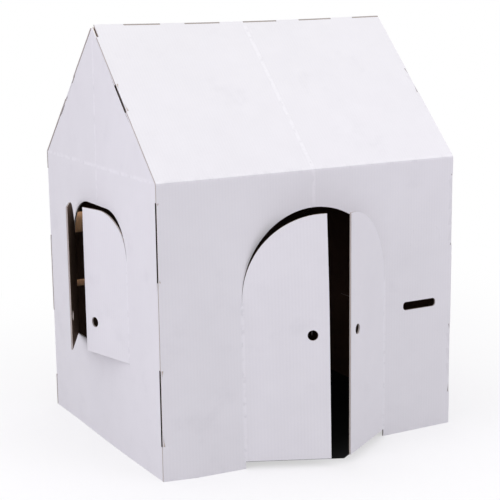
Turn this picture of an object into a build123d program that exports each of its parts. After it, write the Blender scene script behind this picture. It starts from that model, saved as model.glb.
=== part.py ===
from build123d import *
import os
from math import atan2, cos, degrees, hypot, radians, sin, tan

# A child's playhouse folded from corrugated card, in millimetres.
# X runs along the door wall, the door looks towards -Y and the floor is at Z = 0.

# The house as a whole
HOUSE_WIDTH = 813.0
HOUSE_DEPTH = 673.0
RIDGE_HEIGHT = 1029.0
EAVE_HEIGHT = 692.5
BOARD = 4.0
FIT = 0.3
EAVE_BEND = 7.0
EDGE_BEND = 2.5
RIDGE_BEND = 4.0

# Door in the long wall: two leaves that fold outwards at the jambs
DOOR_WIDTH = 406.0
DOOR_SPRING = 400.0
LEAF_FLOOR_GAP = 18.0
LEFT_LEAF_ANGLE = 28.0
RIGHT_LEAF_ANGLE = 33.0
DOOR_HOLE_INSET = 40.0

# Window in the gable wall: two shutters that fold outwards
WINDOW_WIDTH = 336.0
WINDOW_SILL = 239.0
WINDOW_CROWN = 597.0
SHOULDER_RADIUS = 108.0
FRONT_SHUTTER_ANGLE = 14.0
REAR_SHUTTER_ANGLE = 27.0
SHUTTER_HOLE_INSET = 36.0

# Hole to put a finger through, near the free edge of every leaf
FINGER_HOLE = 25.0
FINGER_HOLE_HEIGHT = 318.0

# Letter slot, and the hand hole above it
SLOT_LENGTH = 98.0
SLOT_HEIGHT = 21.0
SLOT_CORNER = 8.5
SLOT_SHIFT = 4.0
SLOT_LEVEL = 327.5
HAND_HOLE_LENGTH = 90.0
HAND_HOLE_HEIGHT = 58.0
HAND_HOLE_CORNER = 25.0
HAND_HOLE_SHIFT = 18.0
HAND_HOLE_LEVEL = 494.0
TONGUE_ANGLE = 24.0

# Width of a die cut, and the pressed lines that the card folds on
CUT = 1.0
CREASE_WIDTH = 3.0
CREASE_DEPTH = 0.6
CENTRE_CREASE_GAP = 12.0
CREASE_END_GAP = 14.0

# Tabs at the side edges of the long sheets, bent inwards through the folds of the gable sheets
WALL_TAB_LENGTH = 180.0
LOWER_TAB_LEVEL = 174.0
UPPER_TAB_DROP = 134.0
RAKE_TAB_LENGTH = 81.0
RAKE_TAB_DROP = 226.0
TAB_BEND = 1.5
TAB_REACH = 34.0
FOLD_SLOT = 4.0
APEX_NOTCH_LENGTH = 40.0
APEX_NOTCH_WIDTH = 6.0

# Tabs of the back sheet, which stand in notches along the top edge of the front sheet
RIDGE_TAB_COUNT = 5
RIDGE_TAB_LENGTH = 96.0

# Flanges that fold inwards and lie against the neighbouring sheet
FLANGE_WIDTH = 36.0
FLANGE_END_GAP = 30.0
RIDGE_FLANGE_WIDTH = 40.0
RIDGE_STRIP = 16.0
RELIEF = 3.0

# Worked out from the sizes above
HALF_WIDTH = HOUSE_WIDTH / 2
HALF_DEPTH = HOUSE_DEPTH / 2
DOOR_RADIUS = DOOR_WIDTH / 2
DOOR_CROWN = DOOR_SPRING + DOOR_RADIUS
WINDOW_HALF = WINDOW_WIDTH / 2
WINDOW_SPRING = WINDOW_CROWN - SHOULDER_RADIUS
SIDE_MIDDLE = (DOOR_RADIUS + HALF_WIDTH) / 2
SLOT_OFFSET = SIDE_MIDDLE + SLOT_SHIFT
HAND_HOLE_OFFSET = SIDE_MIDDLE + HAND_HOLE_SHIFT
ROOF_RISE = RIDGE_HEIGHT - EAVE_HEIGHT
PITCH = atan2(ROOF_RISE, HALF_DEPTH)
RAKE_LENGTH = hypot(ROOF_RISE, HALF_DEPTH)
DOWN_Y = cos(PITCH)
DOWN_Z = sin(PITCH)
SEAT = BOARD + FIT
THROUGH = 2 * BOARD
TAB_ROOT = 2 * BOARD
TAB_LEAN = atan2(SEAT, SEAT + FOLD_SLOT)
RIDGE_SEAT = (SEAT + BOARD * abs(cos(2 * PITCH))) / sin(2 * PITCH)
RIDGE_TAB_PITCH = HOUSE_WIDTH / RIDGE_TAB_COUNT
WALL_TAB_LEVELS = (LOWER_TAB_LEVEL, EAVE_HEIGHT - UPPER_TAB_DROP)

# Middle of the walls, set so that the middle of everything, open leaves included, is at zero
SHUTTER_REACH = (WINDOW_HALF - CUT / 2) * sin(radians(REAR_SHUTTER_ANGLE))
LEAF_REACH = (DOOR_RADIUS - CUT / 2) * sin(radians(RIGHT_LEAF_ANGLE))
TONGUE_REACH = (HAND_HOLE_HEIGHT - CUT / 2) * sin(radians(TONGUE_ANGLE))
MID_X = SHUTTER_REACH / 2
MID_Y = (LEAF_REACH - TONGUE_REACH) / 2

# Upright plane across the middle of the house, looking along X
SECTION = Plane(origin=(MID_X, MID_Y, 0), x_dir=(0, 1, 0), z_dir=(1, 0, 0))

# The outer faces of the house: x to the right and y upwards for someone looking at each one
RIDGE = (MID_X, MID_Y, RIDGE_HEIGHT)
FRONT_WALL = Plane(origin=(MID_X, MID_Y - HALF_DEPTH, 0), x_dir=(1, 0, 0), z_dir=(0, -1, 0))
BACK_WALL = Plane(origin=(MID_X, MID_Y + HALF_DEPTH, 0), x_dir=(-1, 0, 0), z_dir=(0, 1, 0))
FRONT_ROOF = Plane(origin=RIDGE, x_dir=(1, 0, 0), z_dir=(0, -DOWN_Z, DOWN_Y))
BACK_ROOF = Plane(origin=RIDGE, x_dir=(-1, 0, 0), z_dir=(0, DOWN_Z, DOWN_Y))
LEFT_WALL = Plane(origin=(MID_X - HALF_WIDTH, MID_Y, 0), x_dir=(0, -1, 0), z_dir=(-1, 0, 0))
RIGHT_WALL = Plane(origin=(MID_X + HALF_WIDTH, MID_Y, 0), x_dir=(0, 1, 0), z_dir=(1, 0, 0))


def door_outline(grow=0.0):
    """Door opening with a half-round head, standing on the floor."""
    half = DOOR_RADIUS + grow
    with BuildSketch() as outline:
        with BuildLine():
            Polyline((-half, DOOR_SPRING), (-half, 0), (half, 0), (half, DOOR_SPRING))
            ThreePointArc((half, DOOR_SPRING), (0, DOOR_SPRING + half), (-half, DOOR_SPRING))
        make_face()
    return outline.sketch


def window_outline(grow=0.0):
    """Window opening with a flat head and round shoulders."""
    width = WINDOW_WIDTH + 2 * grow
    height = WINDOW_CROWN - WINDOW_SILL + 2 * grow
    with BuildSketch() as outline:
        with Locations((0, (WINDOW_SILL + WINDOW_CROWN) / 2)):
            Rectangle(width, height)
        fillet(outline.vertices().sort_by(Axis.Y)[2:], radius=SHOULDER_RADIUS + grow)
    return outline.sketch


def leaf_outline(opening, half_opening, bottom, spring, top, hole_inset):
    """Half of an opening, with x running from the fold line to the free edge of the leaf."""
    width = half_opening - CUT / 2
    with BuildSketch() as outline:
        with Locations((half_opening, 0)):
            add(opening)
        with Locations((CUT, (bottom + spring) / 2)):
            Rectangle(2 * CUT, spring - bottom)
        with Locations((width / 2, (bottom + top) / 2)):
            Rectangle(width, top - bottom, mode=Mode.INTERSECT)
        with Locations((half_opening - hole_inset, FINGER_HOLE_HEIGHT)):
            Circle(FINGER_HOLE / 2, mode=Mode.SUBTRACT)
    return outline.sketch


def closed_pair_cut(opening, leaf_opening, half_opening, spring, top, sill, bottom, hole_inset):
    """Everything cut through the card for two leaves that are still closed."""
    with BuildSketch() as cut:
        add(opening)
        add(leaf_opening, mode=Mode.SUBTRACT)
        with Locations((0, (spring + top) / 2)):
            Rectangle(2 * half_opening + BOARD, top - spring + BOARD, mode=Mode.INTERSECT)
        with Locations((0, (bottom + top) / 2)):
            Rectangle(CUT, top - bottom)
        with Locations((0, (sill + bottom) / 2)):
            Rectangle(2 * half_opening, bottom - sill)
        for side in (-1, 1):
            with Locations((side * hole_inset, FINGER_HOLE_HEIGHT)):
                Circle(FINGER_HOLE / 2)
    return cut.sketch


def fold_line(face, offset):
    """Plane of a face moved to an upright fold line, its x axis pointing to the middle."""
    hand = -1 if offset > 0 else 1
    place = face.from_local_coords(Vector(offset, 0, 0))
    return Plane(origin=place, x_dir=face.x_dir * hand, z_dir=face.z_dir * hand)


def folded_leaf(fold, outline, angle, outward, low, high):
    """Leaf folded out by an angle about the y axis of its fold plane, with the bent card.

    outward is 1 where the z axis of the fold plane points out of the house and -1 where it
    points in. The bent card runs from low to high along the fold.
    """
    turn = radians(angle)
    along = fold.x_dir * cos(turn) + fold.z_dir * outward * sin(turn)
    turned = Plane(origin=fold.origin, x_dir=along, z_dir=along.cross(fold.y_dir))
    low_end = fold.from_local_coords(Vector(0, low, 0))
    bend = Plane(origin=low_end, x_dir=fold.x_dir, z_dir=fold.y_dir * outward)
    with BuildPart() as leaf:
        with BuildSketch(turned):
            add(outline)
        extrude(amount=-outward * BOARD)
        with BuildSketch(bend):
            with BuildLine():
                Line((0, 0), (0, BOARD))
                ThreePointArc(
                    (0, BOARD),
                    (BOARD * sin(turn / 2), BOARD * cos(turn / 2)),
                    (BOARD * sin(turn), BOARD * cos(turn)),
                )
                Line((BOARD * sin(turn), BOARD * cos(turn)), (0, 0))
            make_face()
        extrude(amount=outward * (high - low))
    return leaf.part


def tongue(wall, offset, level, length, height, corner):
    """Flap of a rounded hole, folded out at the lower edge of the hole."""
    hinge = wall.from_local_coords(Vector(offset, level - height / 2, 0))
    fold = Plane(origin=hinge, x_dir=(0, 0, 1), z_dir=wall.z_dir)
    straight = length / 2 - corner
    with BuildSketch() as outline:
        with Locations((height / 2, 0)):
            RectangleRounded(height - CUT, length - CUT, corner)
        with Locations((corner / 2, 0)):
            Rectangle(corner, 2 * straight)
    return folded_leaf(fold, outline.sketch, TONGUE_ANGLE, 1, -straight, straight)


def free_spans(start, end, tab_centres, tab_length):
    """Stretches of an edge between its tabs that are long enough for a flange."""
    marks = [start]
    for centre in tab_centres:
        marks.append(centre - tab_length / 2 - RELIEF)
        marks.append(centre + tab_length / 2 + RELIEF)
    marks.append(end)
    spans = [(marks[i], marks[i + 1]) for i in range(0, len(marks), 2)]
    return [span for span in spans if span[1] - span[0] > FLANGE_WIDTH + RELIEF]


def ridge_tab_spans():
    """Start and end of each ridge tab along X; the last tab runs out at the sheet's end."""
    starts = [RIDGE_TAB_PITCH * (i + 0.5) - HALF_WIDTH for i in range(RIDGE_TAB_COUNT)]
    return [(start, min(start + RIDGE_TAB_LENGTH, HALF_WIDTH)) for start in starts]


def ridge_point(front_depth, back_depth):
    """Y and Z of a point at given depths below the front slope and below the back slope."""
    y = (front_depth - back_depth) / (2 * DOWN_Z)
    z = RIDGE_HEIGHT - (front_depth + back_depth) / (2 * DOWN_Y)
    return (y, z)


def ridge_hook(start, stop):
    """Stretch of the back slope's top edge, bent down beneath the front slope."""
    bend_y, bend_z = ridge_point(SEAT + BOARD / 2, BOARD / 2)
    with BuildPart() as hook:
        with BuildSketch(SECTION.offset(start)):
            with BuildLine():
                FilletPolyline(
                    (bend_y + RIDGE_STRIP * DOWN_Y, bend_z - RIDGE_STRIP * DOWN_Z),
                    (bend_y, bend_z),
                    (bend_y - RIDGE_FLANGE_WIDTH * DOWN_Y, bend_z - RIDGE_FLANGE_WIDTH * DOWN_Z),
                    radius=RIDGE_BEND,
                )
            trace(line_width=BOARD)
        extrude(amount=stop - start)
    return hook.part


def side_cuts(centres, length):
    """Stretches at both side edges of a sheet that make way for its bent tabs."""
    with BuildSketch() as cuts:
        for end in (-1, 1):
            for centre in centres:
                with Locations((end * HALF_WIDTH, centre)):
                    Rectangle(2 * TAB_ROOT, length + 2 * CUT)
    return cuts.sketch


def side_tab(face, end, centre, length):
    """Tab at the side edge of a wall or slope, bent inwards to slip behind the gable wall."""
    start = face.from_local_coords(Vector(end * HALF_WIDTH, centre - length / 2, 0))
    section = Plane(origin=start, x_dir=face.x_dir * -end, z_dir=face.y_dir)
    tip_x = TAB_REACH * sin(TAB_LEAN)
    tip_depth = TAB_REACH * cos(TAB_LEAN)
    elbow = BOARD * (cos(TAB_LEAN) + (1 + sin(TAB_LEAN)) * tan(TAB_LEAN))
    points = [
        (0, 0),
        (tip_x, tip_depth),
        (tip_x + BOARD * cos(TAB_LEAN), tip_depth - BOARD * sin(TAB_LEAN)),
        (elbow, BOARD),
        (TAB_ROOT + BOARD, BOARD),
        (TAB_ROOT + BOARD, 0),
    ]
    with BuildSketch() as outline:
        with BuildLine():
            Polyline(*[(x, -end * depth) for x, depth in points], close=True)
        make_face()
        fillet(outline.vertices().sort_by(Axis.X)[0], radius=TAB_BEND)
    with BuildPart() as tab:
        with BuildSketch(section):
            add(outline.sketch)
        extrude(amount=length)
    return tab.part


def long_sheet(wall, roof, side, drop):
    """Wall and roof slope folded at the eave, with the tabs at both side edges.

    side is -1 at the front and 1 at the back; drop is how far the slope stops below the crest.
    """
    middle = HALF_DEPTH - BOARD / 2
    eave = RIDGE_HEIGHT - middle * tan(PITCH) - BOARD / 2 / DOWN_Y
    top_y = side * (drop * DOWN_Y - BOARD / 2 * DOWN_Z)
    top_z = RIDGE_HEIGHT - drop * DOWN_Z - BOARD / 2 * DOWN_Y
    with BuildPart() as sheet:
        with BuildSketch(SECTION.offset(-HALF_WIDTH)):
            with BuildLine():
                FilletPolyline(
                    (side * middle, 0),
                    (side * middle, eave),
                    (top_y, top_z),
                    radius=EAVE_BEND,
                )
            trace(line_width=BOARD)
        extrude(amount=HOUSE_WIDTH)
        with BuildSketch(wall):
            add(side_cuts(WALL_TAB_LEVELS, WALL_TAB_LENGTH))
        extrude(amount=-THROUGH, mode=Mode.SUBTRACT)
        with BuildSketch(roof):
            add(side_cuts([-RAKE_TAB_DROP], RAKE_TAB_LENGTH))
            with Locations((-HALF_WIDTH, 0)):
                Rectangle(2 * APEX_NOTCH_WIDTH, 2 * APEX_NOTCH_LENGTH)
        extrude(amount=-THROUGH, mode=Mode.SUBTRACT)
        with BuildSketch(wall):
            for hand in (-1, 1):
                with Locations((hand * CENTRE_CREASE_GAP / 2, (DOOR_CROWN + EAVE_HEIGHT) / 2)):
                    Rectangle(CREASE_WIDTH, EAVE_HEIGHT - DOOR_CROWN - 2 * CREASE_END_GAP)
        extrude(amount=-CREASE_DEPTH, mode=Mode.SUBTRACT)
        with BuildSketch(roof):
            for hand in (-1, 1):
                with Locations((hand * CENTRE_CREASE_GAP / 2, -RAKE_LENGTH / 2)):
                    Rectangle(CREASE_WIDTH, RAKE_LENGTH - 2 * CREASE_END_GAP)
        extrude(amount=-CREASE_DEPTH, mode=Mode.SUBTRACT)
        for end in (-1, 1):
            for level in WALL_TAB_LEVELS:
                add(side_tab(wall, end, level, WALL_TAB_LENGTH))
            add(side_tab(roof, end, -RAKE_TAB_DROP, RAKE_TAB_LENGTH))
    return sheet.part


def flange(fold, free, start, end):
    """Outline of a flange with slanting ends, from its fold to its free edge."""
    slant = abs(free - fold) / 2
    with BuildSketch() as outline:
        with BuildLine():
            Polyline(
                (fold, start),
                (free, start + slant),
                (free, end - slant),
                (fold, end),
                close=True,
            )
        make_face()
    return outline.sketch


def on_fold(edge):
    """Whether an edge of a gable's outer face runs along the fold of a flange."""
    middle = SECTION.to_local_coords(edge @ 0.5)
    wall_depth = HALF_DEPTH - abs(middle.X)
    roof_depth = (RIDGE_HEIGHT - middle.Y) * DOWN_Y - abs(middle.X) * DOWN_Z
    return min(abs(wall_depth - SEAT), abs(roof_depth - SEAT)) < FIT / 3


def gable_sheet(wall, end):
    """Gable wall, and the flanges folded in behind the walls and the slopes.

    end is -1 for the left-hand gable and 1 for the right-hand one.
    """
    foot = HALF_DEPTH - SEAT
    shoulder = RIDGE_HEIGHT - foot * tan(PITCH) - SEAT / DOWN_Y
    top = RIDGE_HEIGHT - SEAT / DOWN_Y
    with BuildSketch() as plate:
        with BuildLine():
            Polyline((-foot, 0), (foot, 0), (foot, shoulder), (0, top), (-foot, shoulder), close=True)
        make_face()
        fillet(plate.vertices().sort_by(Axis.Y)[2:4], radius=EAVE_BEND)
        for side in (-1, 1):
            for level in WALL_TAB_LEVELS:
                with Locations((side * foot, level)):
                    Rectangle(2 * FOLD_SLOT, WALL_TAB_LENGTH + 2 * CUT, mode=Mode.SUBTRACT)
            rake = (side * RAKE_TAB_DROP * DOWN_Y, RIDGE_HEIGHT - RAKE_TAB_DROP * DOWN_Z)
            inset = (rake[0] - side * SEAT * DOWN_Z, rake[1] - SEAT * DOWN_Y)
            with Locations(Location((inset[0], inset[1], 0), (0, 0, -side * degrees(PITCH)))):
                Rectangle(RAKE_TAB_LENGTH + 2 * CUT, 2 * FOLD_SLOT, mode=Mode.SUBTRACT)
    wall_spans = free_spans(FLANGE_END_GAP, EAVE_HEIGHT - FLANGE_END_GAP, WALL_TAB_LEVELS, WALL_TAB_LENGTH)
    rake_start = RIDGE_FLANGE_WIDTH + FLANGE_END_GAP
    rake_spans = free_spans(rake_start, RAKE_LENGTH - FLANGE_END_GAP, [RAKE_TAB_DROP], RAKE_TAB_LENGTH)
    with BuildPart() as sheet:
        with BuildSketch(wall):
            add(plate.sketch)
        extrude(amount=-BOARD)
        for face in (FRONT_WALL, BACK_WALL):
            fold = end * HALF_WIDTH * face.x_dir.X
            with BuildSketch(face.offset(-SEAT)):
                for low, high in wall_spans:
                    add(flange(fold, fold - FLANGE_WIDTH * fold / HALF_WIDTH, low, high))
            extrude(amount=-BOARD)
        for face in (FRONT_ROOF, BACK_ROOF):
            fold = end * HALF_WIDTH * face.x_dir.X
            with BuildSketch(face.offset(-SEAT)):
                for low, high in rake_spans:
                    add(flange(fold, fold - FLANGE_WIDTH * fold / HALF_WIDTH, -high, -low))
            extrude(amount=-BOARD)
        outer = sheet.faces().filter_by(Axis.X).sort_by(Axis.X)[-1 if end > 0 else 0]
        fillet(outer.edges().filter_by(on_fold), radius=EDGE_BEND)
        with BuildSketch(wall):
            with Locations((0, EAVE_HEIGHT)):
                Rectangle(2 * foot - 2 * CREASE_END_GAP, CREASE_WIDTH)
            with Locations((0, (WINDOW_CROWN + top) / 2)):
                Rectangle(CREASE_WIDTH, top - WINDOW_CROWN - 2 * CREASE_END_GAP)
            with Locations((0, WINDOW_SILL / 2)):
                Rectangle(CREASE_WIDTH, WINDOW_SILL - 2 * CREASE_END_GAP)
        extrude(amount=-CREASE_DEPTH, mode=Mode.SUBTRACT)
    return sheet.part


front_blank = long_sheet(FRONT_WALL, FRONT_ROOF, -1, 0)
back_blank = long_sheet(BACK_WALL, BACK_ROOF, 1, RIDGE_SEAT + 2 * BOARD)
left_blank = gable_sheet(LEFT_WALL, -1)
right_blank = gable_sheet(RIGHT_WALL, 1)
door = door_outline()
window = window_outline()
door_leaf = leaf_outline(
    door_outline(-CUT / 2),
    DOOR_RADIUS,
    LEAF_FLOOR_GAP,
    DOOR_SPRING,
    DOOR_CROWN,
    DOOR_HOLE_INSET,
)
shutter = leaf_outline(
    window_outline(-CUT / 2),
    WINDOW_HALF,
    WINDOW_SILL + CUT,
    WINDOW_SPRING,
    WINDOW_CROWN,
    SHUTTER_HOLE_INSET,
)
closed_door = closed_pair_cut(
    door_outline(CUT / 2),
    door_outline(-CUT / 2),
    DOOR_RADIUS,
    DOOR_SPRING,
    DOOR_CROWN,
    0,
    LEAF_FLOOR_GAP,
    DOOR_HOLE_INSET,
)
closed_window = closed_pair_cut(
    window_outline(CUT / 2),
    window_outline(-CUT / 2),
    WINDOW_HALF,
    WINDOW_SPRING,
    WINDOW_CROWN,
    WINDOW_SILL,
    WINDOW_SILL + CUT,
    SHUTTER_HOLE_INSET,
)
left_leaf = folded_leaf(
    fold_line(FRONT_WALL, -DOOR_RADIUS), door_leaf, LEFT_LEAF_ANGLE, 1, LEAF_FLOOR_GAP, DOOR_SPRING
)
right_leaf = folded_leaf(
    fold_line(FRONT_WALL, DOOR_RADIUS), door_leaf, RIGHT_LEAF_ANGLE, -1, LEAF_FLOOR_GAP, DOOR_SPRING
)
rear_shutter = folded_leaf(
    fold_line(LEFT_WALL, -WINDOW_HALF), shutter, REAR_SHUTTER_ANGLE, 1, WINDOW_SILL + CUT, WINDOW_SPRING
)
front_shutter = folded_leaf(
    fold_line(LEFT_WALL, WINDOW_HALF), shutter, FRONT_SHUTTER_ANGLE, -1, WINDOW_SILL + CUT, WINDOW_SPRING
)
slot_tongue = tongue(BACK_WALL, SLOT_OFFSET, SLOT_LEVEL, SLOT_LENGTH, SLOT_HEIGHT, SLOT_CORNER)
hand_tongue = tongue(
    BACK_WALL, HAND_HOLE_OFFSET, HAND_HOLE_LEVEL, HAND_HOLE_LENGTH, HAND_HOLE_HEIGHT, HAND_HOLE_CORNER
)
ridge_tabs = ridge_tab_spans()
hook_starts = [2 * BOARD - HALF_WIDTH] + [stop + RELIEF for start, stop in ridge_tabs[:-1]]
hooks = [ridge_hook(low, tab[0] - RELIEF) for low, tab in zip(hook_starts, ridge_tabs)]

# Front sheet: the door wall and the front slope, notched along the ridge
with BuildPart() as front_sheet:
    add(front_blank)
    with BuildSketch(FRONT_WALL):
        add(door)
        with Locations((SLOT_OFFSET, SLOT_LEVEL)):
            RectangleRounded(SLOT_LENGTH, SLOT_HEIGHT, SLOT_CORNER)
    extrude(amount=-THROUGH, mode=Mode.SUBTRACT)
    with BuildSketch(FRONT_WALL):
        with Locations((HAND_HOLE_OFFSET, HAND_HOLE_LEVEL)):
            RectangleRounded(HAND_HOLE_LENGTH, HAND_HOLE_HEIGHT, HAND_HOLE_CORNER)
            RectangleRounded(
                HAND_HOLE_LENGTH - CREASE_WIDTH,
                HAND_HOLE_HEIGHT - CREASE_WIDTH,
                HAND_HOLE_CORNER - CREASE_WIDTH / 2,
                mode=Mode.SUBTRACT,
            )
    extrude(amount=-CREASE_DEPTH, mode=Mode.SUBTRACT)
    with BuildSketch(FRONT_ROOF):
        for start, stop in ridge_tabs:
            with Locations(((start + stop) / 2, 0)):
                Rectangle(stop - start + 2 * FIT, 2 * RIDGE_SEAT)
    extrude(amount=-THROUGH, both=True, mode=Mode.SUBTRACT)
    add(left_leaf)
    add(right_leaf)
front_sheet.part.label = "front_sheet"

# Back sheet: the same wall with its door closed, and the back slope that hooks the ridge
with BuildPart() as back_sheet:
    add(back_blank)
    with BuildSketch(BACK_WALL):
        add(closed_door)
        with Locations((SLOT_OFFSET, SLOT_LEVEL)):
            RectangleRounded(SLOT_LENGTH, SLOT_HEIGHT, SLOT_CORNER)
        with Locations((HAND_HOLE_OFFSET, HAND_HOLE_LEVEL)):
            RectangleRounded(HAND_HOLE_LENGTH, HAND_HOLE_HEIGHT, HAND_HOLE_CORNER)
    extrude(amount=-THROUGH, mode=Mode.SUBTRACT)
    with BuildSketch(BACK_WALL):
        for side in (-1, 1):
            with Locations((side * DOOR_RADIUS, (LEAF_FLOOR_GAP + DOOR_SPRING) / 2)):
                Rectangle(CREASE_WIDTH, DOOR_SPRING - LEAF_FLOOR_GAP)
    extrude(amount=-CREASE_DEPTH, mode=Mode.SUBTRACT)
    with BuildSketch(BACK_ROOF):
        for start, stop in ridge_tabs:
            with Locations((-(start + stop) / 2, -RIDGE_SEAT - BOARD)):
                Rectangle(stop - start, 2 * (RIDGE_SEAT + BOARD))
    extrude(amount=-BOARD)
    for hook in hooks:
        add(hook)
    add(slot_tongue)
    add(hand_tongue)
back_sheet.part.label = "back_sheet"

# Left gable sheet: the window with its shutters folded out
with BuildPart() as left_gable:
    add(left_blank)
    with BuildSketch(LEFT_WALL):
        add(window)
    extrude(amount=-THROUGH, mode=Mode.SUBTRACT)
    add(rear_shutter)
    add(front_shutter)
left_gable.part.label = "left_gable"

# Right gable sheet: the same window with its shutters closed
with BuildPart() as right_gable:
    add(right_blank)
    with BuildSketch(RIGHT_WALL):
        add(closed_window)
    extrude(amount=-THROUGH, mode=Mode.SUBTRACT)
    with BuildSketch(RIGHT_WALL):
        for side in (-1, 1):
            with Locations((side * WINDOW_HALF, (WINDOW_SILL + WINDOW_SPRING) / 2)):
                Rectangle(CREASE_WIDTH, WINDOW_SPRING - WINDOW_SILL)
    extrude(amount=-CREASE_DEPTH, mode=Mode.SUBTRACT)
right_gable.part.label = "right_gable"

os.makedirs("parts", exist_ok=True)
export_step(front_sheet.part, "parts/front_sheet.step")
export_step(back_sheet.part, "parts/back_sheet.step")
export_step(left_gable.part, "parts/left_gable.step")
export_step(right_gable.part, "parts/right_gable.step")
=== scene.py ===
"""A playhouse folded from white corrugated card, dressed around its packed sheets."""
import math

import bmesh
import bpy
from bpy.props import FloatProperty, FloatVectorProperty, PointerProperty
from bpy.types import Operator, Panel, PropertyGroup
from mathutils import Matrix, Vector
from mathutils.bvhtree import BVHTree


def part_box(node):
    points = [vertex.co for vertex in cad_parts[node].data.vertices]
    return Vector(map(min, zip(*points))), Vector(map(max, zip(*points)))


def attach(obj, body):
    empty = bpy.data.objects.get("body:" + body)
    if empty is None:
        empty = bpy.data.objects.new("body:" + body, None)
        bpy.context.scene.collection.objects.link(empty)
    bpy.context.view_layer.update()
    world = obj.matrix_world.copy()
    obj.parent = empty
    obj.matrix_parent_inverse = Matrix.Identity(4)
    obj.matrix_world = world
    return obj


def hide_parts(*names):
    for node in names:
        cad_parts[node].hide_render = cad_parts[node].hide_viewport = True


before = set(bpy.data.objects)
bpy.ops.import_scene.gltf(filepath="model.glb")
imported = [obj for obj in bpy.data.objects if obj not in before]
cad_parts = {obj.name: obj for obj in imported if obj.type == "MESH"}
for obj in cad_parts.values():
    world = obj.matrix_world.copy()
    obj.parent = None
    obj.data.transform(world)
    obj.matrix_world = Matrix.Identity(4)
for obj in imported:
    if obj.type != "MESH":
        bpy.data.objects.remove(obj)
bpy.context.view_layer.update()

bl_info = {
    "name": "Card playhouse",
    "version": (1, 0, 0),
    "blender": (4, 5, 0),
    "location": "View3D > Sidebar > Playhouse",
    "description": "Dresses the folded sheets of a corrugated card playhouse",
    "category": "Object",
}

# Face attribute: share of painted shade in the hollows at a cut
FLUTE_MAP = "flutes"
GAP_SHADE = "gap_shade_share"

BACK_LOW, BACK_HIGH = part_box("back_sheet")
GABLE_LOW, GABLE_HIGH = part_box("right_gable")
MIDDLE = Vector(((BACK_LOW.x + BACK_HIGH.x) / 2, (GABLE_LOW.y + GABLE_HIGH.y) / 2, 0))
HALF_WIDTH = (BACK_HIGH.x - BACK_LOW.x) / 2
RIDGE = BACK_HIGH.z
GABLE_SEAT = 0.0043
HALF_DEPTH = (GABLE_HIGH.y - GABLE_LOW.y) / 2 + GABLE_SEAT

# Working limits of the mesh, in metres, radians and shares
MERGE = 1e-6
FLAT = math.radians(0.5)
SHARP = math.radians(28)
CUT_REACH = 0.0003
CUT_CLOSED = 0.95
LEAF_CLEAR = 0.0002
GABLE_RIM = 0.02
FLOOR_REACH = 60.0


class CardSizes(PropertyGroup):
    """Sizes of the card and of the openings."""

    board: FloatProperty(
        name="Board", description="Thickness of the card", default=0.004, unit="LENGTH"
    )
    flute: FloatProperty(
        name="Flute", description="Distance between two waves of the fluted paper",
        default=0.0078, unit="LENGTH",
    )
    eave: FloatProperty(
        name="Eave", description="Height of the fold between wall and roof",
        default=0.6925, unit="LENGTH",
    )
    heart: FloatProperty(
        name="Heart", description="Height of the point that every outer face looks away from",
        default=0.45, unit="LENGTH",
    )
    door: FloatProperty(
        name="Half door", description="Half of the width of the door", default=0.203, unit="LENGTH"
    )
    window: FloatProperty(
        name="Half window", description="Half of the width of the window",
        default=0.168, unit="LENGTH",
    )
    left_lean: FloatProperty(
        name="Left lean", description="Slope of the left door leaf away from the wall",
        default=0.466,
    )
    right_lean: FloatProperty(
        name="Right lean", description="Slope of the right door leaf away from the wall",
        default=0.649,
    )
    crease: FloatProperty(
        name="Crease depth", description="Depth of the pressed creases", default=0.0006,
        unit="LENGTH",
    )
    wall_cuts: FloatVectorProperty(
        name="Wall cuts", description="Heights of both sides of each cut beside a wall tab",
        size=8, default=(0.083, 0.084, 0.265, 0.264, 0.4675, 0.4685, 0.6495, 0.6485),
        unit="LENGTH",
    )
    roof_cuts: FloatVectorProperty(
        name="Roof cuts", description="The same for the roof tabs, as distances from the ridge",
        size=4, default=(0.1845, 0.1855, 0.2675, 0.2665), unit="LENGTH",
    )


class CardSlack(PropertyGroup):
    """How far the thin card leaves its flat place."""

    cell: FloatProperty(
        name="Cell", description="Spacing of the cuts that let a sheet bow", default=0.04,
        unit="LENGTH",
    )
    jamb: FloatProperty(
        name="Jamb", description="How far the wall stands out at the foot of the left door jamb",
        default=0.0235, unit="LENGTH",
    )
    corner: FloatProperty(
        name="Corner", description="Width of the strip next to a corner that stays straight",
        default=0.014, unit="LENGTH",
    )
    shut: FloatProperty(
        name="Shut", description="How far the left door leaf closes as its jamb stands out",
        default=math.radians(3.1), subtype="ANGLE",
    )
    gable: FloatProperty(
        name="Gable", description="How far the window wall stands out beside the front shutter",
        default=0.003, unit="LENGTH",
    )
    ridge: FloatProperty(
        name="Ridge", description="Sag of the ridge between the gables", default=0.0036,
        unit="LENGTH",
    )
    ironed: FloatProperty(
        name="Ironed", description="Share of the creases' depth that has sprung back",
        default=0.7,
    )


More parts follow.
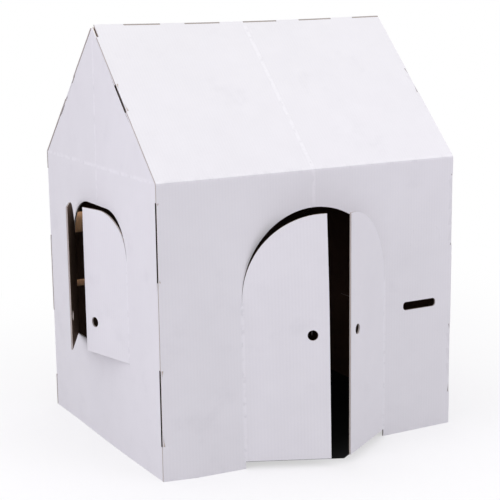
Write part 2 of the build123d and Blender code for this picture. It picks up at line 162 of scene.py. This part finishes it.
class CardColours(PropertyGroup):
    """Colours of the papers, with painted light on the back flaps and painted shade in the hollows
    at the cuts and along the creases.
    """

    white: FloatVectorProperty(
        name="White liner", description="Outside of the card", subtype="COLOR",
        default=(0.857, 0.855, 0.862), min=0, max=1,
    )
    # This grey darkens handled smudges and specks along the folds and at the foot of the walls,
    # and is also painted shade in dashes along the middle creases
    worn_and_shaded: FloatVectorProperty(
        name="Worn liner", description="White liner where it is rubbed or handled",
        subtype="COLOR", default=(0.60, 0.60, 0.62), min=0, max=1,
    )
    brown: FloatVectorProperty(
        name="Brown liner", description="Inside of the card", subtype="COLOR",
        default=(0.13, 0.08, 0.052), min=0, max=1,
    )
    # Painted light: the back flaps' inner face is the same brown liner, given this lighter colour
    # to stand for the light falling on it
    tan: FloatVectorProperty(
        name="Tan liner", description="Inside of the back sheet's flaps, out in the light",
        subtype="COLOR", default=(0.92, 0.54, 0.30), min=0, max=1,
    )
    flute: FloatVectorProperty(
        name="Fluted paper", description="Paper between the liners, seen at the cuts",
        subtype="COLOR", default=(0.60, 0.50, 0.40), min=0, max=1,
    )
    # Painted shade: near black that stands for the shade inside the open flutes at a cut
    gap: FloatVectorProperty(
        name="Flute gap", description="Hollows between the waves, seen at the cuts",
        subtype="COLOR", default=(0.02, 0.013, 0.01), min=0, max=1,
    )
    pinched: FloatVectorProperty(
        name="Pinched edge", description="Cuts where the die has closed the hollows",
        subtype="COLOR", default=(0.62, 0.59, 0.58), min=0, max=1,
    )


class StageSettings(PropertyGroup):
    """Camera and lamps."""

    focal: FloatProperty(
        name="Focal length", description="Focal length in picture widths", default=2.684
    )
    place: FloatVectorProperty(
        name="Camera place", description="Camera seen from the middle of the walls, on the floor",
        default=(-1.634, -2.986, 1.145), subtype="TRANSLATION", unit="LENGTH",
    )
    yaw: FloatProperty(
        name="Yaw", description="Turn of the view from the door's side to the right",
        default=math.radians(28.88), subtype="ANGLE",
    )
    pitch: FloatProperty(
        name="Pitch", description="Tilt of the view below the horizon",
        default=math.radians(11.69), subtype="ANGLE",
    )
    roll: FloatProperty(
        name="Roll", description="Turn of the camera about its view", default=math.radians(-0.70),
        subtype="ANGLE",
    )
    ambient: FloatProperty(
        name="Ambient", description="Strength of the light from all around", default=0.84
    )
    tint: FloatVectorProperty(
        name="Tint", description="Colour of the light from all around", subtype="COLOR",
        default=(0.965, 0.945, 0.995), min=0, max=1,
    )
    cool: FloatVectorProperty(
        name="Cool lamps", description="Colour of the lamps at the left and in front",
        subtype="COLOR", default=(0.90, 0.85, 1.0), min=0, max=1,
    )
    warm: FloatVectorProperty(
        name="Warm lamp", description="Colour of the lamp above the roof", subtype="COLOR",
        default=(0.95, 1.0, 0.84), min=0, max=1,
    )
    aim: FloatProperty(
        name="Aim", description="Height in the house that the lamps point at", default=0.6,
        unit="LENGTH",
    )
    floor: FloatProperty(
        name="Floor", description="Share of light that the floor throws onto the house",
        default=0.28,
    )
    # Painted shade: the floor beneath the house and between the door leaves is made nearly black,
    # for every ray
    floor_shade: FloatProperty(
        name="Floor inside", description="The same share beneath the house", default=0.03
    )
    strip: FloatVectorProperty(
        name="Strip", description="Shift of the floor that is seen beneath the door leaves",
        size=2, default=(0.021, 0.040), unit="LENGTH",
    )
    pale: FloatProperty(
        name="Pale floor", description="Paleness of the floor as it is seen", default=0.92
    )


class Wire:
    """A shader socket that adds its nodes when it is used in arithmetic."""

    def __init__(self, tree, socket):
        self.tree = tree
        self.socket = socket

    def math(self, operation, *others):
        return Wire(self.tree, add_node(
            self.tree, "ShaderNodeMath", {"operation": operation},
            {i: value for i, value in enumerate(others)},
        ).outputs[0])

    def __add__(self, other):
        return self.math("ADD", self, other)

    def __radd__(self, other):
        return self.math("ADD", other, self)

    def __sub__(self, other):
        return self.math("SUBTRACT", self, other)

    def __rsub__(self, other):
        return self.math("SUBTRACT", other, self)

    def __mul__(self, other):
        return self.math("MULTIPLY", self, other)

    def __rmul__(self, other):
        return self.math("MULTIPLY", other, self)

    def __truediv__(self, other):
        return self.math("DIVIDE", self, other)

    def __rtruediv__(self, other):
        return self.math("DIVIDE", other, self)

    def sine(self):
        return self.math("SINE", self)

    def size(self):
        return self.math("ABSOLUTE", self)

    def ramp(self, low, high):
        """0 below low, 1 above high and smooth between them."""
        node = add_node(
            self.tree, "ShaderNodeMapRange", {"interpolation_type": "SMOOTHSTEP"},
            {"Value": self, "From Min": low, "From Max": high},
        )
        return Wire(self.tree, node.outputs["Result"])


def add_node(tree, kind, settings=None, inputs=None):
    """Add a node, apply its settings first and then set or link its inputs."""
    node = tree.nodes.new(kind)
    for name, value in (settings or {}).items():
        setattr(node, name, value)
    for name, value in (inputs or {}).items():
        if isinstance(value, Wire):
            tree.links.new(value.socket, node.inputs[name])
        elif isinstance(value, bpy.types.NodeSocket):
            tree.links.new(value, node.inputs[name])
        else:
            node.inputs[name].default_value = value
    return node


def start_material(name):
    """A new material with its tree, its main shader and its Object coordinates."""
    material = bpy.data.materials.new(name)
    material.use_nodes = True
    tree = material.node_tree
    shader = tree.nodes["Principled BSDF"]
    coordinates = add_node(tree, "ShaderNodeTexCoord").outputs["Object"]
    return material, tree, shader, coordinates


def noise(tree, coordinates, scale, detail=4.0, stretch=None):
    """Noise from 0 to 1, finer along any axis with a larger stretch."""
    if stretch is not None:
        coordinates = add_node(
            tree, "ShaderNodeMapping", {}, {"Vector": coordinates, "Scale": stretch}
        ).outputs["Vector"]
    node = add_node(
        tree, "ShaderNodeTexNoise", {"noise_dimensions": "3D"},
        {"Vector": coordinates, "Scale": scale, "Detail": detail, "Roughness": 0.6},
    )
    return Wire(tree, node.outputs["Fac"])


def mix_colours(tree, factor, first, second):
    """Colour that goes from first to second with a factor."""
    node = add_node(
        tree, "ShaderNodeMix", {"data_type": "RGBA"}, {0: factor, 6: first, 7: second}
    )
    return node.outputs[2]


def opaque(colour, share=1.0):
    """A colour scaled by a share, with its alpha."""
    return (colour[0] * share, colour[1] * share, colour[2] * share, 1.0)


def flute_map(tree):
    """Across the flutes in metres, and along them or through the card."""
    uv = add_node(tree, "ShaderNodeUVMap", {"uv_map": FLUTE_MAP}).outputs["UV"]
    split = add_node(tree, "ShaderNodeSeparateXYZ", {}, {"Vector": uv})
    return Wire(tree, split.outputs["X"]), Wire(tree, split.outputs["Y"])


def away_from(tree, coordinates):
    """Distances from the middle of the walls along each axis, and the height."""
    split = add_node(tree, "ShaderNodeSeparateXYZ", {}, {"Vector": coordinates})
    x, y, z = (Wire(tree, socket) for socket in split.outputs)
    return (x - MIDDLE.x).size(), (y - MIDDLE.y).size(), z


def near(distance, width):
    """1 where a distance is nothing, and fading out over a width on both sides."""
    return 1.0 - distance.size().ramp(width * 0.2, width)


def fold_marks(tree, place, sizes):
    """Masks of the folds at eave, door jambs and window jambs, which get darker specks and painted
    highlights, and of the foot of the walls, which gets darker specks.
    """
    x, y, z = away_from(tree, place)
    eave = near(z - sizes.eave, 0.009)
    low = 1.0 - z.ramp(sizes.eave * 0.57, sizes.eave * 0.6)
    jamb = near(x - sizes.door, 0.006) * y.ramp(HALF_DEPTH - 0.02, HALF_DEPTH - 0.01) * low
    hinge = near(y - sizes.window, 0.005) * x.ramp(HALF_WIDTH - 0.02, HALF_WIDTH - 0.01)
    hinge = hinge * (1.0 - z.ramp(0.50, 0.53)) * z.ramp(0.22, 0.24)
    foot = 1.0 - z.ramp(0.0, 0.012)
    return eave * 0.5 + jamb + hinge, foot


def centre_wrinkle(tree, place, sizes):
    """1 on the creases down the middle of roof and gables, above the door and at eave height; it
    places painted shade, painted highlights and a bump there.
    """
    x, y, z = away_from(tree, place)
    high = z.ramp(0.60, 0.62)
    front = near(x, 0.007) * y.ramp(0.0, 0.02) * high
    side = near(y, 0.007) * x.ramp(HALF_WIDTH - 0.02, HALF_WIDTH - 0.01)
    level = near(z - sizes.eave, 0.006) * x.ramp(HALF_WIDTH - 0.02, HALF_WIDTH - 0.01)
    return front.math("MAXIMUM", front, side * high + level * 0.6)


def white_liner(sizes, colours):
    """Bleached liner: fine fibre, faint clouds, flutes that just show, handled smudges, darker
    specks along the folds and at the foot, and painted shade and painted highlights along the
    creases.
    """
    material, tree, shader, place = start_material("white_liner")
    across, _ = flute_map(tree)
    waves = (across * (2 * math.pi / sizes.flute)).sine()
    cloud = noise(tree, place, 4.0, 3.0)
    mottle = noise(tree, place, 17.0, 5.0)
    smudge = noise(tree, place, 11.0, 5.0)
    fibre = noise(tree, place, 650.0, 6.0)
    shade = (cloud - 0.5) * 1.0 + (mottle - 0.5) * 0.9 + (fibre - 0.5) * 0.7 + waves * 0.12 + 0.5
    plain = mix_colours(tree, shade, opaque(colours.white, 0.97), opaque(colours.white, 1.025))
    handled = smudge.ramp(0.56, 0.80) * 0.15
    folds, foot = fold_marks(tree, place, sizes)
    # The rubbed noise splits the fold masks into darker specks and painted highlights; the foot of
    # the walls gets darker specks too
    rubbed = noise(tree, place, 60.0, 5.0)
    fold_and_foot_specks = (folds * 0.45 + foot * 0.5) * rubbed.ramp(0.50, 0.68)
    crumple = noise(tree, place, 75.0, 3.0, (1.0, 1.0, 0.6))
    wrinkle = centre_wrinkle(tree, place, sizes)
    # Handled smudges, the darker specks, and painted shade in dashes along the middle creases
    dirt_and_painted_shade = handled + fold_and_foot_specks * 0.45 + wrinkle * crumple.ramp(0.60, 0.72) * 0.25
    worn_and_shaded = mix_colours(tree, dirt_and_painted_shade.math("MINIMUM", dirt_and_painted_shade, 1.0), plain, opaque(colours.worn_and_shaded))
    # Painted highlight: lighter than the white liner along the middle creases and the folds
    painted_highlight = wrinkle * (1.0 - crumple.ramp(0.46, 0.60)) * 0.65
    painted_highlight = painted_highlight + folds * (1.0 - rubbed.ramp(0.48, 0.60)) * 0.5
    colour = mix_colours(tree, painted_highlight, worn_and_shaded, opaque(colours.white, 1.09))
    height = waves * 0.3 + fibre * 0.5 + cloud * 0.8 + wrinkle * crumple * 6.0
    bump = add_node(
        tree, "ShaderNodeBump", {}, {"Strength": 0.15, "Distance": 0.0005, "Height": height}
    )
    tree.links.new(colour, shader.inputs["Base Color"])
    tree.links.new(bump.outputs["Normal"], shader.inputs["Normal"])
    tree.links.new((fibre * 0.14 + smudge * 0.12 + 0.56).socket, shader.inputs["Roughness"])
    shader.inputs["Specular IOR Level"].default_value = 0.3
    return material


def brown_liner(sizes, colours):
    """Unbleached liner with long fibres and a washboard of flutes, with painted light on the back
    flaps where they stand out beyond the wall.
    """
    material, tree, shader, place = start_material("brown_liner")
    across, _ = flute_map(tree)
    waves = (across * (2 * math.pi / sizes.flute)).sine()
    cloud = noise(tree, place, 9.0, 4.0)
    fibre = noise(tree, place, 220.0, 6.0, (3.0, 3.0, 1.0))
    fleck = noise(tree, place, 900.0, 2.0).ramp(0.70, 0.78)
    shade = (cloud - 0.5) * 0.8 + (fibre - 0.5) * 1.1 + waves * 0.14 + 0.5
    plain = mix_colours(tree, shade, opaque(colours.brown, 0.78), opaque(colours.brown, 1.22))
    y = Wire(tree, add_node(
        tree, "ShaderNodeSeparateXYZ", {}, {"Vector": place}
    ).outputs["Y"])
    # Painted light: where the flaps stand out beyond the back wall the liner takes the lighter
    # lit-flap colour
    out = y.ramp(MIDDLE.y + HALF_DEPTH - 0.0035, MIDDLE.y + HALF_DEPTH - 0.002)
    flaps = mix_colours(tree, shade, opaque(colours.tan, 0.85), opaque(colours.tan, 1.15))
    toned = mix_colours(tree, out, plain, flaps)
    colour = mix_colours(tree, fleck * 0.5, toned, opaque(colours.brown, 0.45))
    bump = add_node(
        tree, "ShaderNodeBump", {},
        {"Strength": 0.35, "Distance": 0.0006, "Height": waves * 0.7 + fibre * 0.4},
    )
    tree.links.new(colour, shader.inputs["Base Color"])
    tree.links.new(bump.outputs["Normal"], shader.inputs["Normal"])
    tree.links.new((fibre * 0.12 + 0.74).socket, shader.inputs["Roughness"])
    shader.inputs["Specular IOR Level"].default_value = 0.2
    return material


def cut_edge(sizes, colours):
    """Die-cut edge: two liners with the wave of the fluted paper between them, and painted shade
    in the hollows between the waves.
    """
    material, tree, shader, place = start_material("cut_edge")
    across, through = flute_map(tree)
    gap_shade_share = Wire(tree, add_node(
        tree, "ShaderNodeAttribute", {"attribute_name": GAP_SHADE}
    ).outputs["Fac"])
    wave = (across * (2 * math.pi / sizes.flute)).sine() * 0.36 + 0.5
    paper = (1.0 - (through - wave).size().ramp(0.08, 0.17)) * (1.0 - gap_shade_share.ramp(0.5, 1.0))
    liners = (through - 0.5).size().ramp(0.37, 0.42)
    fibre = noise(tree, place, 900.0, 5.0)
    solid = paper.math("MAXIMUM", paper, liners)
    toned = mix_colours(tree, fibre, opaque(colours.flute, 0.78), opaque(colours.flute, 1.22))
    bleached = mix_colours(tree, through.ramp(0.86, 0.92), toned, opaque(colours.white, 0.95))
    # Painted shade: between the paper waves the cut takes the near-black gap shade, by the share
    # that the face carries
    gap = mix_colours(tree, gap_shade_share, opaque(colours.pinched), opaque(colours.gap))
    colour = mix_colours(tree, solid, gap, bleached)
    bump = add_node(
        tree, "ShaderNodeBump", {}, {"Strength": 0.8, "Distance": 0.0008, "Height": solid}
    )
    tree.links.new(colour, shader.inputs["Base Color"])
    tree.links.new(bump.outputs["Normal"], shader.inputs["Normal"])
    tree.links.new((fibre * 0.1 + 0.82).socket, shader.inputs["Roughness"])
    shader.inputs["Specular IOR Level"].default_value = 0.15
    return material


def card_materials():
    """The three papers, made once."""
    sizes = bpy.context.scene.playhouse_sizes
    colours = bpy.context.scene.playhouse_colours
    makers = {"white_liner": white_liner, "brown_liner": brown_liner, "cut_edge": cut_edge}
    return [bpy.data.materials.get(name) or make(sizes, colours) for name, make in makers.items()]


OUTSIDE, INSIDE, EDGE = range(3)


def cut_grid(mesh, cell):
    """Cut a sheet at even steps along every axis, so that it can bow."""
    for axis in range(3):
        places = [vertex.co[axis] for vertex in mesh.verts]
        low, high = min(places), max(places)
        normal = Vector([float(i == axis) for i in range(3)])
        for step in range(1, int((high - low) / cell) + 1):
            everything = mesh.verts[:] + mesh.edges[:] + mesh.faces[:]
            bmesh.ops.bisect_plane(
                mesh, geom=everything, plane_co=normal * (low + step * cell), plane_no=normal,
                dist=1e-5,
            )


def sort_faces(mesh, sizes):
    """Mark each face as outer liner, inner liner or cut edge, from the card's depth behind it.

    A sliver takes the mark of a flat neighbour, or else of the liner beside it.
    """
    tree = BVHTree.FromBMesh(mesh)
    heart = MIDDLE + Vector((0, 0, sizes.heart))
    slivers = set()
    for face in mesh.faces:
        centre = face.calc_center_median()
        longest = max(edge.calc_length() for edge in face.edges)
        sliver = 2 * face.calc_area() < longest * sizes.board * 0.2
        face.tag = not sliver
        start = centre - face.normal * sizes.board * 0.05
        behind = tree.ray_cast(start, -face.normal, sizes.board * 1.6)[0]
        if sliver:
            slivers.add(face)
        if behind is None and not sliver:
            face.material_index = EDGE
        elif face.normal.dot(centre - heart) > 0:
            face.material_index = OUTSIDE
        else:
            face.material_index = INSIDE
    for face in list(slivers):
        touching = {other for edge in face.edges for other in edge.link_faces} - slivers
        flat = [other for other in touching if other.normal.dot(face.normal) > 0.9]
        alike = flat or [other for other in touching if other.material_index != EDGE]
        if alike:
            face.material_index = max(alike, key=lambda other: other.calc_area()).material_index


def slope_depth(place):
    """Depth of a point below the nearer roof slope."""
    return (RIDGE - place.z - abs(place.y)) / math.sqrt(2)


def gap_shade_at(face, across, node):
    """Share of painted shade in the hollows at a cut: full near the gables' rims, where it darkens
    their slots, little where the cut runs along the flutes and more elsewhere.
    """
    centre = face.calc_center_median() - MIDDLE
    rim = min(slope_depth(centre), HALF_DEPTH - abs(centre.y))
    if "gable" in node and rim < GABLE_RIM:
        return 1.0
    return 0.1 if abs(face.normal.dot(across)) > 0.7 else 0.4


def map_flutes(mesh, node, sizes):
    """UV map: across the flutes in metres, and along them or, at a cut, through the card."""
    layer = mesh.loops.layers.uv.new(FLUTE_MAP)
    gap_shade_share = mesh.faces.layers.float.new(GAP_SHADE)
    outer_faces = [face for face in mesh.faces if face.material_index == OUTSIDE and face.tag]
    corners = [vertex.co.copy() for face in outer_faces for vertex in face.verts]
    outer = BVHTree.FromPolygons(corners, [(i, i + 1, i + 2) for i in range(0, len(corners), 3)])
    for face in mesh.faces:
        edge = face.material_index == EDGE
        normal = outer.find_nearest(face.calc_center_median())[1] if edge else face.normal
        along = Vector((0, 0, 1)) - normal * normal.z
        along = along.normalized() if along.length > 0.01 else Vector((0, 1, 0))
        across = along.cross(normal).normalized()
        # Share of painted shade in the cut's hollows
        face[gap_shade_share] = gap_shade_at(face, across, node)
        lengthwise = edge and abs(face.normal.dot(across)) > 0.9
        for loop in face.loops:
            place = loop.vert.co
            depth = 1 - outer.find_nearest(place)[3] / sizes.board if edge else place.dot(along)
            crossing = face[gap_shade_share] * sizes.flute / 4 if lengthwise else place.dot(across)
            loop[layer].uv = (crossing, depth)


def front_slack(place, sizes, slack):
    """Place of a point of the front sheet once the left door jamb stands out."""
    side = place.x + HALF_WIDTH - slack.corner
    jamb = HALF_WIDTH - sizes.door - slack.corner
    height = max(0.0, 2 * place.z / sizes.eave - 1)
    swell = slack.jamb * (1 - place.z) * math.cos(height * math.pi / 2)
    leaf = place.y < -HALF_DEPTH - LEAF_CLEAR
    if leaf and place.x < 0:
        hinge = Vector((-sizes.door, -HALF_DEPTH, place.z))
        arm = place - hinge
        turn = slack.shut * min(1.0, arm.length / (sizes.board * 3))
        place = hinge + Matrix.Rotation(turn, 3, "Z") @ arm
        return place - Vector((0, swell, 0))
    if leaf or side < 0:
        return place
    if side < jamb:
        rise = min(1.0, 3 * side / jamb)
        share = (math.sin(rise * math.pi / 2) + side / jamb) / 2
    else:
        share = math.cos(min(1.0, (side - jamb) / sizes.door) * math.pi / 2)
    return place - Vector((0, swell * share, 0))


def gable_slack(place, sizes, slack):
    """Place of a point of the window wall once it stands out beside the front shutter."""
    along = place.y
    if place.x < -HALF_WIDTH - LEAF_CLEAR:
        along = math.copysign(sizes.window, place.y)
    share = (along + HALF_DEPTH) / (sizes.window + HALF_DEPTH)
    swell = slack.gable * math.sin(math.pi * min(1.0, share)) * min(1.0, 2 * (RIDGE - place.z))
    return place - Vector((swell, 0, 0))


def iron(place, node, sizes, slack):
    """Place of a point with the creases pressed nearly flat."""
    if "gable" in node:
        normal = Vector((math.copysign(1, place.x), 0, 0))
        depth = HALF_WIDTH - abs(place.x)
    elif place.z < sizes.eave:
        normal = Vector((0, math.copysign(1, place.y), 0))
        depth = HALF_DEPTH - abs(place.y)
    else:
        normal = Vector((0, math.copysign(1, place.y), 1)).normalized()
        depth = slope_depth(place)
    if abs(depth - sizes.crease) < sizes.crease * 0.2:
        return place + normal * depth * slack.ironed
    return place


def close_cuts(place, sizes):
    """Place of a point of a long sheet once the cuts beside its side tabs have closed."""
    if abs(place.x) < HALF_WIDTH - 2.2 * sizes.board:
        return place
    if place.z < sizes.eave:
        along = Vector((0, 0, 1))
        run = place.z
        cuts = tuple(sizes.wall_cuts)
    else:
        along = Vector((0, math.copysign(1, place.y), -1)).normalized()
        run = (RIDGE - place.z + abs(place.y)) / math.sqrt(2)
        cuts = tuple(sizes.roof_cuts)
    for outer, inner in zip(cuts[::2], cuts[1::2]):
        if abs(run - outer) < CUT_REACH:
            return place + along * (inner - outer) * CUT_CLOSED
    return place


def settle(mesh, node, sizes, slack):
    """Move the points of a sheet to where its slack card hangs."""
    for vertex in mesh.verts:
        place = vertex.co - MIDDLE
        place = iron(place, node, sizes, slack)
        if "sheet" in node:
            place = close_cuts(place, sizes)
        rise = max(0.0, (place.z - sizes.eave) / (RIDGE - sizes.eave))
        span = max(0.0, 1 - abs(place.x) / HALF_WIDTH)
        sag = slack.ridge * math.sin(span * math.pi / 2) * rise
        if node == "front_sheet" and place.z < sizes.eave:
            place = front_slack(place, sizes, slack)
        elif node == "left_gable":
            place = gable_slack(place, sizes, slack)
        vertex.co = MIDDLE + place - Vector((0, 0, sag))


def shade_smooth(mesh):
    """Smooth the bowed faces and bends, and keep cuts and creases sharp."""
    mesh.normal_update()
    for face in mesh.faces:
        face.smooth = True
    for edge in mesh.edges:
        kinds = {face.material_index for face in edge.link_faces}
        edge.smooth = len(kinds) == 1 and edge.calc_face_angle(0.0) < SHARP


def make_piece(node):
    """A card piece that stands for one CAD node."""
    sizes = bpy.context.scene.playhouse_sizes
    slack = bpy.context.scene.playhouse_slack
    mesh = bmesh.new()
    mesh.from_mesh(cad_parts[node].data)
    bmesh.ops.remove_doubles(mesh, verts=mesh.verts, dist=MERGE)
    bmesh.ops.dissolve_limit(mesh, angle_limit=FLAT, verts=mesh.verts, edges=mesh.edges)
    cut_grid(mesh, slack.cell)
    bmesh.ops.triangulate(mesh, faces=mesh.faces)
    mesh.normal_update()
    sort_faces(mesh, sizes)
    map_flutes(mesh, node, sizes)
    settle(mesh, node, sizes, slack)
    shade_smooth(mesh)
    data = bpy.data.meshes.new(node + "_card")
    mesh.to_mesh(data)
    mesh.free()
    for material in card_materials():
        data.materials.append(material)
    piece = bpy.data.objects.new(node + "_card", data)
    bpy.context.scene.collection.objects.link(piece)
    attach(piece, "root")
    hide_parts(node)
    return piece


class PLAYHOUSE_OT_front_sheet(Operator):
    """Make the front sheet with its two door leaves"""

    bl_idname = "playhouse.front_sheet"
    bl_label = "Front sheet"

    def execute(self, context):
        make_piece("front_sheet")
        return {"FINISHED"}


class PLAYHOUSE_OT_back_sheet(Operator):
    """Make the back sheet with its ridge tabs and flaps"""

    bl_idname = "playhouse.back_sheet"
    bl_label = "Back sheet"

    def execute(self, context):
        make_piece("back_sheet")
        return {"FINISHED"}


class PLAYHOUSE_OT_gables(Operator):
    """Make both gable sheets with their shutters"""

    bl_idname = "playhouse.gables"
    bl_label = "Gable sheets"

    def execute(self, context):
        for node in ("left_gable", "right_gable"):
            make_piece(node)
        return {"FINISHED"}


def add_lamp(name, place, height, size, power, colour):
    """A square soft box at a place seen from the middle of the walls, aimed at a height there."""
    data = bpy.data.lights.new(name, "AREA")
    data.shape = "SQUARE"
    data.size = size
    data.energy = power
    data.color = colour
    lamp = bpy.data.objects.new(name, data)
    lamp.location = MIDDLE + Vector(place)
    aim = MIDDLE + Vector((0, 0, height)) - lamp.location
    lamp.rotation_euler = aim.to_track_quat("-Z", "Y").to_euler()
    bpy.context.scene.collection.objects.link(lamp)


def add_camera(settings):
    """The camera that looks at the door corner as the photograph does."""
    data = bpy.data.cameras.new("camera")
    data.sensor_fit = "HORIZONTAL"
    data.sensor_width = 36.0
    data.lens = settings.focal * data.sensor_width
    camera = bpy.data.objects.new("camera", data)
    forward = Vector((
        math.sin(settings.yaw) * math.cos(settings.pitch),
        math.cos(settings.yaw) * math.cos(settings.pitch),
        -math.sin(settings.pitch),
    ))
    level = Vector((math.cos(settings.yaw), -math.sin(settings.yaw), 0))
    upright = level.cross(forward)
    right = level * math.cos(settings.roll) + upright * math.sin(settings.roll)
    up = right.cross(forward)
    turn = Matrix((right, up, -forward)).transposed().to_4x4()
    camera.matrix_world = Matrix.Translation(MIDDLE + Vector(settings.place)) @ turn
    bpy.context.scene.collection.objects.link(camera)
    bpy.context.scene.camera = camera


def white_world(settings):
    """White where it is seen, plain soft light elsewhere."""
    world = bpy.data.worlds.new("studio")
    bpy.context.scene.world = world
    world.use_nodes = True
    tree = world.node_tree
    path = add_node(tree, "ShaderNodeLightPath")
    seen = Wire(tree, path.outputs["Is Camera Ray"])
    for ray in ("Is Glossy Ray", "Is Transmission Ray"):
        seen = seen.math("MAXIMUM", seen, Wire(tree, path.outputs[ray]))
    tint = opaque(settings.tint, settings.ambient)
    background = tree.nodes["Background"]
    tree.links.new(mix_colours(tree, seen, tint, (1, 1, 1, 1)), background.inputs["Color"])


def beneath(tree, coordinates, settings):
    """1 on the floor beneath the house and between the door leaves, where the floor is painted
    dark as painted shade.

    The door opening's side starts farther back by the strip that is seen under the leaves.
    """
    sizes = bpy.context.scene.playhouse_sizes
    slack = bpy.context.scene.playhouse_slack
    x, y, _ = away_from(tree, coordinates)
    beyond = (x - HALF_WIDTH).math("MAXIMUM", x - HALF_WIDTH, y - HALF_DEPTH)
    split = add_node(tree, "ShaderNodeSeparateXYZ", {}, {"Vector": coordinates})
    across, along = (Wire(tree, split.outputs[i]) for i in range(2))
    out = MIDDLE.y - HALF_DEPTH + settings.strip[1] - along
    middle = across - MIDDLE.x - settings.strip[0]
    left = middle + sizes.door - (out - slack.jamb) / sizes.left_lean
    right = sizes.door - middle - out / sizes.right_lean
    leaves = left.math("MINIMUM", left, right).ramp(0.0, 0.004) * out.ramp(-0.006, -0.004)
    house = (1.0 - beyond.ramp(-0.003, 0.0)) * (1.0 - out.ramp(0.0, 0.002))
    return house.math("MAXIMUM", house, leaves), beyond


def floor_material(settings):
    """Plain pale floor: it keeps the shadow and turns white farther away, and is painted dark
    beneath the house and between the door leaves as painted shade.
    """
    material = bpy.data.materials.new("studio_floor")
    material.use_nodes = True
    tree = material.node_tree
    tree.nodes.clear()
    path = add_node(tree, "ShaderNodeLightPath")
    place = add_node(tree, "ShaderNodeTexCoord").outputs["Object"]
    shaded_floor, beyond = beneath(tree, place, settings)
    outside = 1.0 - shaded_floor
    seen = Wire(tree, path.outputs["Is Camera Ray"]) * outside
    grain = noise(tree, place, 40.0, 4.0) * 0.01
    # Painted shade: beneath the house and between the leaves the floor takes the nearly black
    # share for every ray
    thrown = outside * (settings.floor - settings.floor_shade) + settings.floor_shade
    shade = seen * (settings.pale - settings.floor) + thrown + grain
    diffuse = add_node(tree, "ShaderNodeBsdfDiffuse", {}, {"Color": shade})
    glow = add_node(tree, "ShaderNodeEmission", {}, {"Color": (1, 1, 1, 1), "Strength": 1.0})
    white = seen * (beyond.ramp(0.05, 1.3) * 0.45 + 0.55)
    mixed = add_node(
        tree, "ShaderNodeMixShader", {}, {0: white, 1: diffuse.outputs[0], 2: glow.outputs[0]}
    )
    add_node(tree, "ShaderNodeOutputMaterial", {}, {"Surface": mixed.outputs[0]})
    return material


class PLAYHOUSE_OT_stage(Operator):
    """Set up the floor, the lamps and the camera"""

    bl_idname = "playhouse.stage"
    bl_label = "Stage"

    def execute(self, context):
        settings = context.scene.playhouse_stage
        context.scene.view_settings.view_transform = "Standard"
        data = bpy.data.meshes.new("floor")
        far = FLOOR_REACH
        corners = [(-far, -far, 0), (far, -far, 0), (far, far, 0), (-far, far, 0)]
        data.from_pydata(corners, [], [(0, 1, 2, 3)])
        data.materials.append(floor_material(settings))
        floor = bpy.data.objects.new("floor", data)
        context.scene.collection.objects.link(floor)
        white_world(settings)
        cool, warm, aim = settings.cool, settings.warm, settings.aim
        add_lamp("left_box", (-2.8, -0.7, 1.0), aim, size=1.4, power=23.5, colour=cool)
        add_lamp("front_box", (1.4, -2.6, 1.2), aim, size=1.4, power=18.5, colour=cool)
        add_lamp("top_box", (0.0, 0.35, 4.0), aim, size=2.0, power=22, colour=warm)
        add_camera(settings)
        return {"FINISHED"}


class PLAYHOUSE_PT_panel(Panel):
    """Buttons that make the playhouse's sheets and its stage"""

    bl_idname = "PLAYHOUSE_PT_panel"
    bl_label = "Card playhouse"
    bl_space_type = "VIEW_3D"
    bl_region_type = "UI"
    bl_category = "Playhouse"

    def draw(self, context):
        for operator in OPERATORS:
            self.layout.operator(operator.bl_idname)


OPERATORS = (
    PLAYHOUSE_OT_front_sheet,
    PLAYHOUSE_OT_back_sheet,
    PLAYHOUSE_OT_gables,
    PLAYHOUSE_OT_stage,
)
GROUPS = {
    "playhouse_sizes": CardSizes,
    "playhouse_slack": CardSlack,
    "playhouse_colours": CardColours,
    "playhouse_stage": StageSettings,
}


def register():
    for group in GROUPS.values():
        bpy.utils.register_class(group)
    for name, group in GROUPS.items():
        setattr(bpy.types.Scene, name, PointerProperty(type=group))
    for operator in OPERATORS:
        bpy.utils.register_class(operator)
    bpy.utils.register_class(PLAYHOUSE_PT_panel)


def unregister():
    bpy.utils.unregister_class(PLAYHOUSE_PT_panel)
    for operator in reversed(OPERATORS):
        bpy.utils.unregister_class(operator)
    for name, group in GROUPS.items():
        delattr(bpy.types.Scene, name)
        bpy.utils.unregister_class(group)


def main():
    register()
    bpy.ops.playhouse.front_sheet()
    bpy.ops.playhouse.back_sheet()
    bpy.ops.playhouse.gables()
    bpy.ops.playhouse.stage()


if __name__ == "__main__":
    main()
